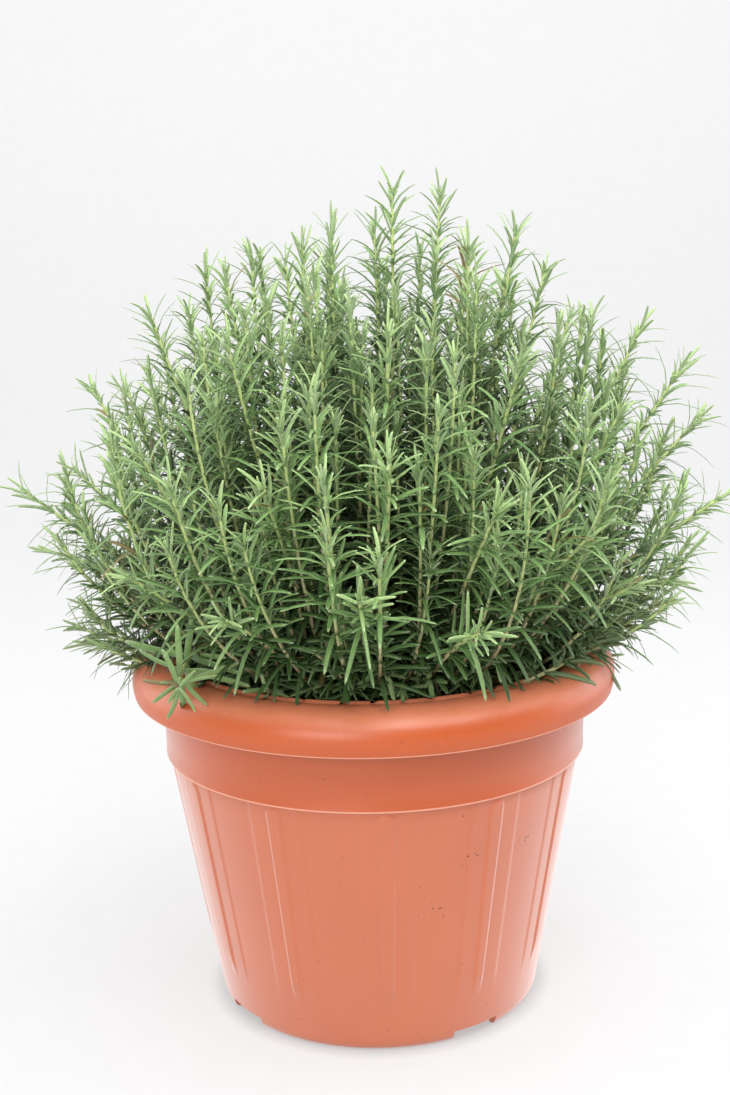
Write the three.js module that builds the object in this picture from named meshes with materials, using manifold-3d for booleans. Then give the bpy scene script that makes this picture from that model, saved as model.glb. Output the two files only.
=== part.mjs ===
// A rosemary plant in a round plastic pot, in millimetres, +Z up.
// The origin is on the pot's axis, on the surface that the pot stands on.
// -Y is the front; angles round the pot are measured from the front towards +X.
import * as THREE from "three";
import { mergeVertices } from "three/addons/utils/BufferGeometryUtils.js";
import Module from "manifold-3d";

const wasm = await Module();
wasm.setup();

// ---------- driving dimensions ----------
const DEG = Math.PI / 180;
const FIT_GAP = 0.4; // clearance between pieces that touch on the real plant

// pot
const FOOT_RECESS_R = 106.5; // inside of the foot ring
const FOOT_FLAT_R = 109.5; // outside of the flat that the pot stands on
const FOOT_RECESS_Z = 7.5; // how far the floor is raised inside the foot ring
const FLOOR_TOP_Z = 10.3;
const FOOT_CORNER = [113.2, 3]; // middle of the rounded foot corner
const WALL_FOOT = [114.4, 8.5]; // radius and height where the straight wall starts
const WALL_TOP = [144.0, 181.5]; // radius and height where it meets the collar band
const RIB_FADE_Z = [34, 48]; // the ribs fade out between these heights
const RIB_HEIGHT = 1.5;
const BAND_LOW = [146.6, 181.8];
const BAND_HIGH = [148.4, 224.7];
const RIM_LOW_R = 166.2; // outer edge of the rim's underside
const RIM_OUTER = [168.4, 232.5]; // widest ring of the rolled rim
const RIM_TOP = [147.0, 252.4]; // crest of the roll
const RIM_SHOULDER = [165.6, 243];
const RIM_BROW = [157.5, 250.3];
const BEAD_GROOVE = [141.4, 251]; // groove between the roll and the inner bead
const BEAD_TOP = [138.6, 252.2];
const MOUTH = [136.9, 250.5]; // inner edge of the rim
const LIP_INNER_Z = 240; // below it the inside opens to the wall
const INNER_TOP = [141.2, 182];
const INNER_FOOT = [111.6, 12];
const RIBS = 12;
const RIB_START = 2.5; // angle of the first rib
const RIB_STEP = 360 / RIBS;
// columns of the pot's skin inside each rib's sector: four for the rib, two for roundness
const SECTOR_COLUMNS = [-2.2, -0.9, 0.9, 2.2, 9, 21];
const RIB_SHARE = [0, 1, 1, 0, 0, 0];
const SOIL_COLUMNS = [-0.9, 9, 21];
const NOTCHES = 4;
const NOTCH_START = 34.4;
const NOTCH_START_R = 113.5; // middle of a notch's cutter
const NOTCH_SIZE = [36, 24, 13.4]; // along the ring, across it, twice the height
const DRAINS = 4;
const DRAIN_R = 84;
const DRAIN_HOLE_R = 5.5;
const DRAIN_SIDES = 8;

// soil
const SOIL_EDGE_Z = 233;
const SOIL_TOP_Z = 238;
const SOIL_RINGS = [[102, 236], [54, 238]]; // radius and height of its surface further in
const SOIL_BUMP = 1.6;

// rooted woody stems
const CROWNS = 8;
const CROWN_RING_R = 68;
const CROWN_START = 12;
const TRUNK_R = 5.2;
const TRUNK_TAPER = 0.85;
const SOCKET_ROOM = 0.6;
const TRUNK_SUNK = 14; // how deep a woody stem is set in the soil
const TRUNK_RISE = 13; // how high its fork is above the soil
const ARM_R = [3.2, 2.7, 2.3]; // half width of an arm at the fork, half way and at its end
const ARM_ROOT_DEPTH = 4; // an arm starts this far below the top of the fork
const SQUARE_CORNER = 1.42; // a square's corner lies this many half widths from its middle
const ARM_SHARE = 0.16; // how much of a shoot's path its woody arm makes up
const ARM_REACH = [22, 44]; // least and greatest length of that stretch

// leafy shoots
const DOME_Z = 240; // height of the point that the shoots fan out from
const DEPTH_SHARE = 0.9; // the bush is this much narrower front to back
const BASE_R = 104; // radius of the outermost shoots at the soil
const LOW_ANGLE = 85; // lean of the lowest shoots, from upright
const FAN_POWER = 0.72; // spreads the upright shoots' feet apart
const BOW_OUT = 8; // how far a shoot's middle bows outward
const LIFT = [-6, 26]; // how far its middle is raised: upright shoots, and low ones
const LIFT_LEANS = [45, 75]; // leans between which the one changes into the other
const STEM_R = [2.1, 1.1]; // half width of a shoot's stem, low and at the tip
const TUFT = 13; // the young leaves reach this far past the stem's end
const LEAF_FOOT = 2.4; // height of a leaf's foot on the stem
const LEAF_TIP_HALF = 1.5; // half width of a leaf's blunt tip
const LEAF_LENGTH = [18, 31]; // at the tip, and full grown
const LEAF_GROWN_AT = 46; // distance below the tip at which leaves are full grown
const LEAF_SPREAD = [0.24, 14]; // random share of the length, and degrees of the angle
const LEAF_TRIES = [1, 0.82, 0.64, 0.48]; // shares of its length that a crowded leaf tries
const LEAF_SWINGS = [0, 22, -22, 42, -42]; // degrees that it may swing sideways
const LEAF_ANGLE = [20, 66]; // from the stem, at the tip and low down
const LEAF_ROOM = 0.45; // least air between leaves of two shoots
const PAIR_STEPS = [2, 6, 10, 13, 17, 22, 27, 30, 32]; // distances from pair to pair, tip down
const BARE_FOOT = 16; // the lowest stretch of a shoot carries no leaves
const LONG_BARE = 70; // a bare stretch longer than this gets a ring half way

// Tips of the shoots that make the bush's outline, seen from the front: x, y, z.
const OUTLINE_TIPS = [
  [19, -28, 572], [54, 42, 568], [99, -44, 544], [132, 72, 514], [-56, 58, 524],
  [-92, -34, 520], [-32, -66, 519], [-150, 18, 492], [-184, -36, 446], [-182, 92, 432],
  [149, 64, 480], [189, -8, 478], [207, -62, 456], [239, 26, 410], [241, -46, 363],
  [-246, -6, 373], [-225, 84, 373], [-240, 46, 315], [233, 66, 274], [78, 104, 526],
];
// Tips of the shoots on the front of the bush; the back repeats them turned half round.
const FRONT_TIPS = [
  [13, -140, 489], [-86, -122, 485], [94, -132, 470], [160, -104, 432], [-145, -128, 420],
  [-64, -184, 404], [12, -192, 420], [76, -184, 388], [134, -158, 362], [-8, -214, 338],
  [-92, -190, 322], [66, -204, 312], [-156, -142, 340], [176, -112, 318],
];
// Shoots that hang over the rim: base, bend and tip.
const RIM_SHOOTS = [
  [[-78, -60, 240], [-100, -84, 290], [-134, -112, 250]],
  [[75, -90, 240], [112, -98, 264], [160, -36, 270]],
];

// ---------- helpers ----------
const V = (x, y, z) => new THREE.Vector3(x, y, z);
const clamp01 = (t) => Math.min(1, Math.max(0, t));
const mix = (a, b, t) => a + (b - a) * t;

// A repeatable number from 0 to 1 for each whole number.
function noise(n) {
  const s = Math.sin(n * 12.9898 + 4.1414) * 43758.5453;
  return s - Math.floor(s);
}

// A point at a radius and an angle from the front, at a height.
function around(r, degrees, z) {
  return V(r * Math.sin(degrees * DEG), -r * Math.cos(degrees * DEG), z);
}

function geometryOf(points, faces) {
  const g = new THREE.BufferGeometry();
  g.setAttribute("position", new THREE.Float32BufferAttribute(points.flatMap((p) => [p.x, p.y, p.z]), 3));
  g.setIndex(faces.flat());
  return g;
}

function solidOf(geometry) {
  const g = geometry.clone();
  g.deleteAttribute("normal");
  g.deleteAttribute("uv");
  const merged = mergeVertices(g, 1e-4);
  return new wasm.Manifold(
    new wasm.Mesh({
      numProp: 3,
      vertProperties: new Float32Array(merged.attributes.position.array),
      triVerts: new Uint32Array(merged.index.array),
    }),
  );
}

function geometryOfSolid(solid) {
  const m = solid.getMesh();
  const g = new THREE.BufferGeometry();
  g.setAttribute("position", new THREE.BufferAttribute(new Float32Array(m.vertProperties), 3));
  g.setIndex(new THREE.BufferAttribute(new Uint32Array(m.triVerts), 1));
  return g;
}

// Turns a profile round the axis. rows hold radius, height and the rib height there;
// the first and the last row are on the axis.
function turned(rows, columns, ribShare) {
  const points = [V(0, 0, rows[0][1])];
  const n = columns.length;
  for (let i = 1; i < rows.length - 1; i++)
    for (let c = 0; c < n; c++) {
      const rib = (rows[i][2] || 0) * ribShare[c % ribShare.length];
      points.push(around(rows[i][0] + rib, columns[c], rows[i][1]));
    }
  points.push(V(0, 0, rows[rows.length - 1][1]));
  const faces = [];
  const at = (row, c) => 1 + (row - 1) * n + (c % n);
  const last = points.length - 1;
  for (let c = 0; c < n; c++) {
    faces.push([0, at(1, c + 1), at(1, c)]);
    for (let i = 1; i < rows.length - 2; i++) {
      faces.push([at(i, c), at(i, c + 1), at(i + 1, c + 1)]);
      faces.push([at(i, c), at(i + 1, c + 1), at(i + 1, c)]);
    }
    faces.push([last, at(rows.length - 2, c), at(rows.length - 2, c + 1)]);
  }
  return geometryOf(points, faces);
}

// The same angles in every rib's sector.
function sectorColumns(offsets) {
  const out = [];
  for (let k = 0; k < RIBS; k++)
    for (const d of offsets) out.push(RIB_START + k * RIB_STEP + d);
  return out;
}

// ---------- pot ----------
function wallRadius(z) {
  return mix(WALL_FOOT[0], WALL_TOP[0], (z - WALL_FOOT[1]) / (WALL_TOP[1] - WALL_FOOT[1]));
}

function makePot() {
  const rows = [
    [0, FOOT_RECESS_Z],
    [FOOT_RECESS_R, FOOT_RECESS_Z],
    [FOOT_RECESS_R, 0],
    [FOOT_FLAT_R, 0],
    FOOT_CORNER,
    WALL_FOOT,
    [wallRadius(RIB_FADE_Z[0]), RIB_FADE_Z[0], 0],
    [wallRadius(RIB_FADE_Z[1]), RIB_FADE_Z[1], RIB_HEIGHT],
    [...WALL_TOP, RIB_HEIGHT],
    BAND_LOW,
    BAND_HIGH,
    [RIM_LOW_R, BAND_HIGH[1]],
    RIM_OUTER,
    RIM_SHOULDER,
    RIM_BROW,
    RIM_TOP,
    BEAD_GROOVE,
    BEAD_TOP,
    MOUTH,
    [MOUTH[0], LIP_INNER_Z],
    INNER_TOP,
    INNER_FOOT,
    [0, FLOOR_TOP_Z],
  ];
  let pot = solidOf(turned(rows, sectorColumns(SECTOR_COLUMNS), RIB_SHARE));
  for (let k = 0; k < NOTCHES; k++) {
    const notch = new THREE.BoxGeometry(...NOTCH_SIZE);
    const a = NOTCH_START + (k * 360) / NOTCHES;
    const p = around(NOTCH_START_R, a, 0);
    notch.applyMatrix4(new THREE.Matrix4().makeRotationZ(a * DEG).setPosition(p));
    pot = pot.subtract(solidOf(notch));
  }
  for (let k = 0; k < DRAINS; k++) {
    const hole = new THREE.CylinderGeometry(DRAIN_HOLE_R, DRAIN_HOLE_R, FLOOR_TOP_Z, DRAIN_SIDES);
    hole.rotateX(90 * DEG);
    const p = around(DRAIN_R, NOTCH_START + (k * 360) / DRAINS, FLOOR_TOP_Z);
    hole.translate(p.x, p.y, p.z);
    pot = pot.subtract(solidOf(hole));
  }
  return geometryOfSolid(pot);
}

// ---------- woody stems' places ----------
const crowns = [V(0, 0, SOIL_TOP_Z)];
for (let k = 0; k < CROWNS - 1; k++)
  crowns.push(around(CROWN_RING_R, CROWN_START + (k * 360) / (CROWNS - 1), SOIL_TOP_Z));

// ---------- soil ----------
function makeSoil() {
  const rows = [
    [0, FLOOR_TOP_Z + FIT_GAP],
    [INNER_FOOT[0] - FIT_GAP, INNER_FOOT[1] + FIT_GAP],
    [INNER_TOP[0] - FIT_GAP, INNER_TOP[1]],
    [MOUTH[0] - FIT_GAP, SOIL_EDGE_Z],
    ...SOIL_RINGS,
    [0, SOIL_TOP_Z],
  ];
  const columns = sectorColumns(SOIL_COLUMNS);
  const g = turned(rows, columns, [0]);
  const p = g.attributes.position;
  const n = columns.length;
  const firstRing = 1 + 3 * n; // the vertices of the surface's two inner rings follow from here
  for (let i = firstRing; i < firstRing + SOIL_RINGS.length * n; i++)
    p.setZ(i, p.getZ(i) + SOIL_BUMP * (noise(i) - 0.6));
  let soil = solidOf(g);
  for (const c of crowns) {
    const r = TRUNK_R + SOCKET_ROOM;
    const socket = new THREE.CylinderGeometry(r, r, 2 * TRUNK_SUNK, 6);
    socket.rotateX(90 * DEG);
    socket.translate(c.x, c.y, c.z);
    soil = soil.subtract(solidOf(socket));
  }
  return geometryOfSolid(soil);
}

// ---------- the shoots' paths ----------
// Each shoot fans out from the dome's centre: the further its tip leans, the further out it starts.
function pathTo(tip) {
  const d = V(tip.x, tip.y / DEPTH_SHARE, tip.z - DOME_Z);
  const lean = Math.atan2(Math.hypot(d.x, d.y), d.z) / DEG;
  const r = BASE_R * (lean / LOW_ANGLE) ** FAN_POWER;
  const out = V(tip.x, tip.y, 0).normalize();
  const base = V(out.x * r, out.y * r, DOME_Z);
  const low = clamp01((lean - LIFT_LEANS[0]) / (LIFT_LEANS[1] - LIFT_LEANS[0]));
  const bow = V(out.x * BOW_OUT, out.y * BOW_OUT, mix(...LIFT, low));
  const bend = base.clone().lerp(tip, 0.5).add(bow);
  return [base, bend, tip];
}

const controls = [];
for (const t of OUTLINE_TIPS) controls.push(pathTo(V(...t)));
for (const t of FRONT_TIPS) controls.push(pathTo(V(...t)));
for (const [x, y, z] of FRONT_TIPS) controls.push(pathTo(V(-x, -y, z - 4)));
for (const s of RIM_SHOOTS) controls.push(s.map((p) => V(...p)));

// A shoot's stem, cut off short of its leaf tips, as points with directions and side vectors.
function stemOf([base, bend, tip]) {
  const whole = new THREE.QuadraticBezierCurve3(base, bend, tip);
  const length = whole.getLength();
  const at = (s) => {
    const u = clamp01(s / length);
    return { p: whole.getPointAt(u), t: whole.getTangentAt(u) };
  };
  const reach = THREE.MathUtils.clamp(ARM_SHARE * length, ...ARM_REACH);
  return { length, at, reach, start: reach + FIT_GAP, end: length - TUFT };
}

const shoots = controls.map(stemOf);

// Side vectors that turn as little as possible along a stem.
function sideVectors(tangents, turn) {
  const first = tangents[0];
  let u = V(0, 0, 1).cross(first);
  if (u.lengthSq() < 1e-4) u = V(1, 0, 0).cross(first);
  u.normalize().applyAxisAngle(first, turn);
  return tangents.map((t) => {
    u.addScaledVector(t, -u.dot(t)).normalize();
    return [u.clone(), t.clone().cross(u)];
  });
}

// ---------- room between pieces ----------
// Everything grown is noted as tapering capsules: two ends and a radius at each.
const taken = [];

function gapBetween(a, b) {
  const d1 = a.q.clone().sub(a.p);
  const d2 = b.q.clone().sub(b.p);
  const r = a.p.clone().sub(b.p);
  const aa = d1.dot(d1);
  const ee = d2.dot(d2);
  const f = d2.dot(r);
  const c = d1.dot(r);
  const bb = d1.dot(d2);
  const denom = aa * ee - bb * bb;
  let s = denom > 1e-9 ? clamp01((bb * f - c * ee) / denom) : 0;
  let t = (bb * s + f) / ee;
  if (t < 0) {
    t = 0;
    s = clamp01(-c / aa);
  } else if (t > 1) {
    t = 1;
    s = clamp01((bb - c) / aa);
  }
  const distance = a.p.clone().addScaledVector(d1, s).distanceTo(b.p.clone().addScaledVector(d2, t));
  return distance - mix(a.rp, a.rq, s) - mix(b.rp, b.rq, t);
}

// Height of the pot or soil under a point at radius r, or -1 outside the pot.
function groundAt(r) {
  if (r < MOUTH[0] - 3) return SOIL_TOP_Z + SOIL_BUMP;
  if (r < 156) return RIM_TOP[1] + 0.3;
  if (r < RIM_OUTER[0] + 3) return RIM_TOP[1] + 0.3 - (r - 156);
  return -1;
}

function isFree(capsule, owner) {
  for (let k = 0; k <= 6; k++) {
    const p = capsule.p.clone().lerp(capsule.q, k / 6);
    const radius = mix(capsule.rp, capsule.rq, k / 6);
    if (p.z - radius - LEAF_ROOM < groundAt(Math.hypot(p.x, p.y))) return false;
  }
  return taken.every((other) => other.owner === owner || gapBetween(capsule, other) > LEAF_ROOM);
}

// ---------- leafy shoots ----------
// Rings of four corners go up a square stem. Where a pair of leaves grows, two opposite
// faces of a short stretch are drawn out into the leaves' straps, which end in a blunt edge.
function planShoot(shoot, index) {
  const leafy = [];
  let s = shoot.end;
  for (const step of PAIR_STEPS) {
    s -= step;
    if (s < shoot.start + BARE_FOOT) break;
    leafy.unshift(s);
  }
  const stops = [shoot.start];
  if (leafy.length && leafy[0] - shoot.start > LONG_BARE) stops.push(mix(shoot.start, leafy[0], 0.5));
  const stretches = [];
  for (const c of leafy) {
    stretches.push(stops.length);
    stops.push(c - LEAF_FOOT / 2, c + LEAF_FOOT / 2);
  }
  stops.push(shoot.end);
  const samples = stops.map((d) => shoot.at(d));
  const sides = sideVectors(samples.map((m) => m.t), noise(index) * Math.PI);
  const radii = stops.map((d) => mix(STEM_R[0], STEM_R[1], d / shoot.length));
  for (let i = 0; i < stops.length - 1; i++)
    taken.push({
      owner: index,
      p: samples[i].p,
      q: samples[i + 1].p,
      rp: radii[i] * SQUARE_CORNER,
      rq: radii[i + 1] * SQUARE_CORNER,
    });
  return { index, shoot, stops, stretches, samples, sides, radii, leaves: new Map() };
}

function tryLeaf(plan, pair, side) {
  const row = plan.stretches[pair];
  const fromTip = plan.shoot.end - (plan.stops[row] + LEAF_FOOT / 2);
  const grown = clamp01(fromTip / LEAF_GROWN_AT);
  const m = plan.samples[row];
  const [u, v] = plan.sides[row];
  const across = pair % 2 ? v : u;
  const along = pair % 2 ? u : v;
  const sign = side ? -1 : 1;
  const middle = m.p.clone().addScaledVector(m.t, LEAF_FOOT / 2);
  const foot = middle.addScaledVector(across, sign * plan.radii[row]);
  const seed = plan.index * 40 + pair * 2 + side;
  const angle = (mix(...LEAF_ANGLE, grown ** 0.7) + LEAF_SPREAD[1] * (noise(seed) - 0.5)) * DEG;
  const full = mix(...LEAF_LENGTH, grown ** 0.6) * (1 + LEAF_SPREAD[0] * (noise(seed + 7) - 0.5));
  for (const share of LEAF_TRIES)
    for (const swing of LEAF_SWINGS) {
      const w = swing * DEG;
      const outward = across.clone().multiplyScalar(sign * Math.cos(w)).addScaledVector(along, Math.sin(w));
      const direction = m.t.clone().multiplyScalar(Math.cos(angle)).addScaledVector(outward, Math.sin(angle));
      const tip = foot.clone().addScaledVector(direction, full * share);
      const footR = plan.radii[row] * 1.25;
      const capsule = { owner: plan.index, p: foot, q: tip, rp: footR, rq: LEAF_TIP_HALF };
      if (!isFree(capsule, plan.index)) continue;
      taken.push(capsule);
      plan.leaves.set(row * 4 + (pair % 2 ? 1 : 0) + side * 2, tip);
      return;
    }
}

function drawShoot(plan) {
  const points = [];
  const faces = [];
  plan.samples.forEach((m, i) => {
    const [u, v] = plan.sides[i];
    for (const [a, b] of [[1, 1], [-1, 1], [-1, -1], [1, -1]])
      points.push(m.p.clone().addScaledVector(u, a * plan.radii[i]).addScaledVector(v, b * plan.radii[i]));
  });
  // the face between corner c and the next one looks along +v, -u, -v, +u for c = 0, 1, 2, 3
  const lookOf = [1, 2, 3, 0];
  const rings = plan.samples.length;
  for (let i = 0; i < rings - 1; i++)
    for (let c = 0; c < 4; c++) {
      const a = i * 4 + c;
      const b = i * 4 + ((c + 1) % 4);
      const tip = plan.leaves.get(i * 4 + lookOf[c]);
      if (tip) {
        const across = points[b].clone().sub(points[a]).setLength(LEAF_TIP_HALF);
        const ta = points.push(tip.clone().sub(across)) - 1;
        const tb = points.push(tip.clone().add(across)) - 1;
        faces.push([a, b, tb], [a, tb, ta], [b, b + 4, tb]);
        faces.push([b + 4, a + 4, ta], [b + 4, ta, tb], [a + 4, a, ta]);
      } else faces.push([a, b, b + 4], [a, b + 4, a + 4]);
    }
  faces.push([0, 3, 2], [0, 2, 1]);
  const top = (rings - 1) * 4;
  const end = plan.samples[rings - 1];
  const bud = points.push(end.p.clone().addScaledVector(end.t, TUFT - 2)) - 1;
  for (let c = 0; c < 4; c++) faces.push([top + c, top + ((c + 1) % 4), bud]);
  return geometryOf(points, faces);
}

// ---------- woody stems ----------
// A tube with four sides through points, each ring square to the direction given for it.
function squareTube(samples, radii) {
  const sides = sideVectors(samples.map((m) => m.t), 0);
  const points = [];
  const faces = [];
  samples.forEach((m, i) => {
    const [u, v] = sides[i];
    for (const [a, b] of [[1, 1], [-1, 1], [-1, -1], [1, -1]])
      points.push(m.p.clone().addScaledVector(u, a * radii[i]).addScaledVector(v, b * radii[i]));
  });
  const n = samples.length;
  for (let i = 0; i < n - 1; i++)
    for (let c = 0; c < 4; c++) {
      const a = i * 4 + c;
      const b = i * 4 + ((c + 1) % 4);
      faces.push([a, b, b + 4], [a, b + 4, a + 4]);
    }
  faces.push([0, 3, 2], [0, 2, 1]);
  const top = (n - 1) * 4;
  faces.push([top, top + 1, top + 2], [top, top + 2, top + 3]);
  return geometryOf(points, faces);
}

function nearestCrown(p) {
  let best = 0;
  crowns.forEach((c, k) => {
    if (Math.hypot(c.x - p.x, c.y - p.y) < Math.hypot(crowns[best].x - p.x, crowns[best].y - p.y)) best = k;
  });
  return best;
}

function makeWoodyStem(k) {
  const c = crowns[k];
  const low = V(c.x, c.y, c.z - TRUNK_SUNK + FIT_GAP);
  const fork = V(c.x, c.y, c.z + TRUNK_RISE);
  const trunk = new THREE.CylinderGeometry(TRUNK_R * TRUNK_TAPER, TRUNK_R, fork.z - low.z, 6);
  trunk.rotateX(90 * DEG);
  trunk.translate(c.x, c.y, (fork.z + low.z) / 2);
  let solid = solidOf(trunk);
  const root = V(fork.x, fork.y, fork.z - ARM_ROOT_DEPTH);
  shoots.forEach((shoot, i) => {
    if (nearestCrown(controls[i][0]) !== k) return;
    const joint = shoot.at(shoot.reach);
    const straight = joint.p.clone().sub(root).normalize();
    const bowed = straight.clone().add(joint.t).normalize();
    const middle = root.clone().lerp(joint.p, 0.55);
    const samples = [{ p: root, t: straight }, { p: middle, t: bowed }, joint];
    solid = solid.add(solidOf(squareTube(samples, ARM_R)));
    const [r0, r1, r2] = ARM_R.map((r) => r * SQUARE_CORNER);
    taken.push({ owner: "arm" + i, p: root, q: middle, rp: r0, rq: r1 });
    taken.push({ owner: "arm" + i, p: middle, q: joint.p, rp: r1, rq: r2 });
  });
  return geometryOfSolid(solid);
}

// ---------- materials ----------
const terracottaPlastic = new THREE.MeshStandardMaterial({ color: 0xd4703f, roughness: 0.45, metalness: 0 });
const compost = new THREE.MeshStandardMaterial({ color: 0x33261c, roughness: 1, metalness: 0 });
const bark = new THREE.MeshStandardMaterial({ color: 0x8a7654, roughness: 0.9, metalness: 0 });
const foliage = new THREE.MeshStandardMaterial({ color: 0x5f8a4a, roughness: 0.6, metalness: 0 });

// ---------- assembly ----------
const root = new THREE.Group();

function place(name, geometry, material) {
  const mesh = new THREE.Mesh(geometry, material);
  mesh.name = name;
  root.add(mesh);
}

place("pot", makePot(), terracottaPlastic);
place("soil", makeSoil(), compost);
crowns.forEach((_, k) => place("woody_stem_" + (k + 1), makeWoodyStem(k), bark));

const plans = shoots.map((shoot, i) => planShoot(shoot, i));
const mostPairs = Math.max(...plans.map((plan) => plan.stretches.length));
// the youngest leaves get their room first
for (let fromTop = 0; fromTop < mostPairs; fromTop++)
  for (const plan of plans) {
    const pair = plan.stretches.length - 1 - fromTop;
    if (pair < 0) continue;
    tryLeaf(plan, pair, 0);
    tryLeaf(plan, pair, 1);
  }
plans.forEach((plan, i) => {
  place("leafy_shoot_" + String(i + 1).padStart(2, "0"), drawShoot(plan), foliage);
});

export default root;
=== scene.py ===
# %% [markdown]
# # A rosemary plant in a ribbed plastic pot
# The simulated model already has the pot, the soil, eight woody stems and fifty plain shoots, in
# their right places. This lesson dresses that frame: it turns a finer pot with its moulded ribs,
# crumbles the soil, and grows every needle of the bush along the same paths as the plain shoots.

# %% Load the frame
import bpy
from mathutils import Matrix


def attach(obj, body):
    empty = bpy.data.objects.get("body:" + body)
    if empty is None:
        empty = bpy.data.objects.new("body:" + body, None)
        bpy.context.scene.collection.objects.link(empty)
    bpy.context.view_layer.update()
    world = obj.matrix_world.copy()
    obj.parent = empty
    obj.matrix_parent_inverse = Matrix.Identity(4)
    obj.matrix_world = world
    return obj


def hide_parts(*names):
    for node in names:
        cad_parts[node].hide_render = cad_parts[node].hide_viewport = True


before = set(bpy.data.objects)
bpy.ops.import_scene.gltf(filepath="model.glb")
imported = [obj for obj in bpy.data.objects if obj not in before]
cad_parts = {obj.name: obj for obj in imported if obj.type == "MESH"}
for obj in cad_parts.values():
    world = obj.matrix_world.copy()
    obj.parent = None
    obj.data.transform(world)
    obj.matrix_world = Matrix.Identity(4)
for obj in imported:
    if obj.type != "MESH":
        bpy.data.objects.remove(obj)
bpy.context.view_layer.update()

# %% [markdown]
# ## Camera
# A camera could be moved by eye until the picture fits, but a pot tells where it stood. Its rings
# are level circles: how they flatten into ellipses gives the camera's tilt and height, and the
# pot's taper gives its distance. The camera is rolled by a little over one degree.

# %% Camera
from math import cos, pi, radians, sin

import bpy
import numpy as np
from mathutils import Matrix, Vector

MM = 0.001
SENSOR = 36.0
LENS = 53.54
CAMERA_PLACE = (-3.8 * MM, -1104.8 * MM, 560.7 * MM)
CAMERA_DOWN, CAMERA_ROLL = radians(12.3), radians(-1.33)

camera = bpy.data.objects.new("camera", bpy.data.cameras.new("camera"))
bpy.context.collection.objects.link(camera)
camera.data.sensor_width, camera.data.lens = SENSOR, LENS
tilt = Matrix.Rotation(pi / 2 - CAMERA_DOWN, 4, "X")
roll = Matrix.Rotation(CAMERA_ROLL, 4, "Z")
camera.matrix_world = Matrix.Translation(CAMERA_PLACE) @ tilt @ roll
bpy.context.scene.camera = camera
print("camera stands", round(-CAMERA_PLACE[1], 3), "m in front of the pot's axis")

# %% [markdown]
# ## Writing node trees as sums
# A node tree can be drawn by hand in the editor, or built in a script with a line for each node and
# each link, which soon gets hard to follow. It is easier to read when it looks like arithmetic.
# `Field` wraps one output socket, so that `radius * 2.0 + height` adds the two Math nodes by
# itself.

# %% Fields
VECTOR_WORK = ("LENGTH", "DOT_PRODUCT", "CROSS_PRODUCT", "NORMALIZE")


def math_node(operation):
    return lambda self, other: calculate(operation, self, other)


class Field:
    """One output of a node. Sums and comparisons with it turn into Math nodes."""

    def __init__(self, socket):
        self.socket, self.tree = socket, socket.id_data

    __add__ = __radd__ = math_node("ADD")
    __mul__ = __rmul__ = math_node("MULTIPLY")
    __sub__, __truediv__ = math_node("SUBTRACT"), math_node("DIVIDE")
    __pow__, __gt__, __lt__ = (math_node(name) for name in ("POWER", "GREATER_THAN", "LESS_THAN"))

    def __rsub__(self, other):
        return calculate("SUBTRACT", other, self)

    def __neg__(self):
        return self * -1.0


def is_vector(value):
    if isinstance(value, Field):
        return value.socket.type == "VECTOR"
    return isinstance(value, (tuple, Vector))


def connect(value, socket):
    """Links a field to a socket, or sets the socket to a plain value."""
    if isinstance(value, Field):
        socket.id_data.links.new(value.socket, socket)
    else:
        socket.default_value = value


def tree_of(*values):
    return next(v.tree for v in values if isinstance(v, Field))


def calculate(operation, *values):
    """Adds a Math node, or a Vector Math node where a value is a vector."""
    tree = tree_of(*values)
    vectors = [v for v in values if is_vector(v)]
    if not vectors and operation not in VECTOR_WORK:
        node = tree.nodes.new("ShaderNodeMath")
    else:
        node = tree.nodes.new("ShaderNodeVectorMath")
        if operation == "MULTIPLY" and len(vectors) == 1:
            share = next(v for v in values if not is_vector(v))
            operation, values = "SCALE", vectors
    node.operation = operation
    if operation == "SCALE":
        connect(share, next(s for s in node.inputs if s.name == "Scale"))
    for value, socket in zip(values, node.inputs):
        connect(value, socket)
    return Field(next(s for s in node.outputs if s.enabled))


def fill(node, **values):
    """Fills inputs by name. A name is written here with an underscore for each space."""
    for name, value in values.items():
        title = name.replace("_", " ")
        connect(value, next(s for s in node.inputs if s.name == title and s.enabled))


def put(tree, kind, **values):
    """Adds a node. Names in small letters set its options, names with a capital fill inputs."""
    node = tree.nodes.new(kind)
    for name, value in values.items():
        if name.islower():
            setattr(node, name, value)
    fill(node, **{name: value for name, value in values.items() if not name.islower()})
    return node


def out(node, name=None):
    """One output of a node: the named one, or else the first."""
    return Field(next(s for s in node.outputs if s.enabled and name in (None, s.name)))


def shape(tree, kind, **values):
    """Adds a geometry node and gives its first output."""
    return out(put(tree, "GeometryNode" + kind, **values))


def random(tree, **values):
    return out(put(tree, "FunctionNodeRandomValue", **values))


def clamp(value):
    return calculate("MINIMUM", calculate("MAXIMUM", value, 0.0), 1.0)


def smooth(value):
    """0 below 0, 1 above 1, and a soft step between them."""
    t = clamp(value)
    return t * t * (3.0 - 2.0 * t)


def between(low, high, share):
    return low + (high - low) * share


def parts_of(vector):
    node = put(vector.tree, "ShaderNodeSeparateXYZ", Vector=vector)
    return [out(node, axis) for axis in "XYZ"]


def vector_of(x, y, z):
    return out(put(tree_of(x, y, z), "ShaderNodeCombineXYZ", X=x, Y=y, Z=z))


def distance(x, y):
    return calculate("SQRT", x * x + y * y)


print("field helpers ready")

# %% [markdown]
# ## From a tree to a plain mesh
# A modifier could stay on its object, but a finished mesh is easier to count, to colour and to
# export. Each Geometry Nodes tree has an input for each of its sizes. `settle` sets them by the
# socket's identifier, lets Blender evaluate the modifier once and keeps the result as an ordinary
# mesh.

# %% Trees
collection = bpy.context.collection


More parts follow.
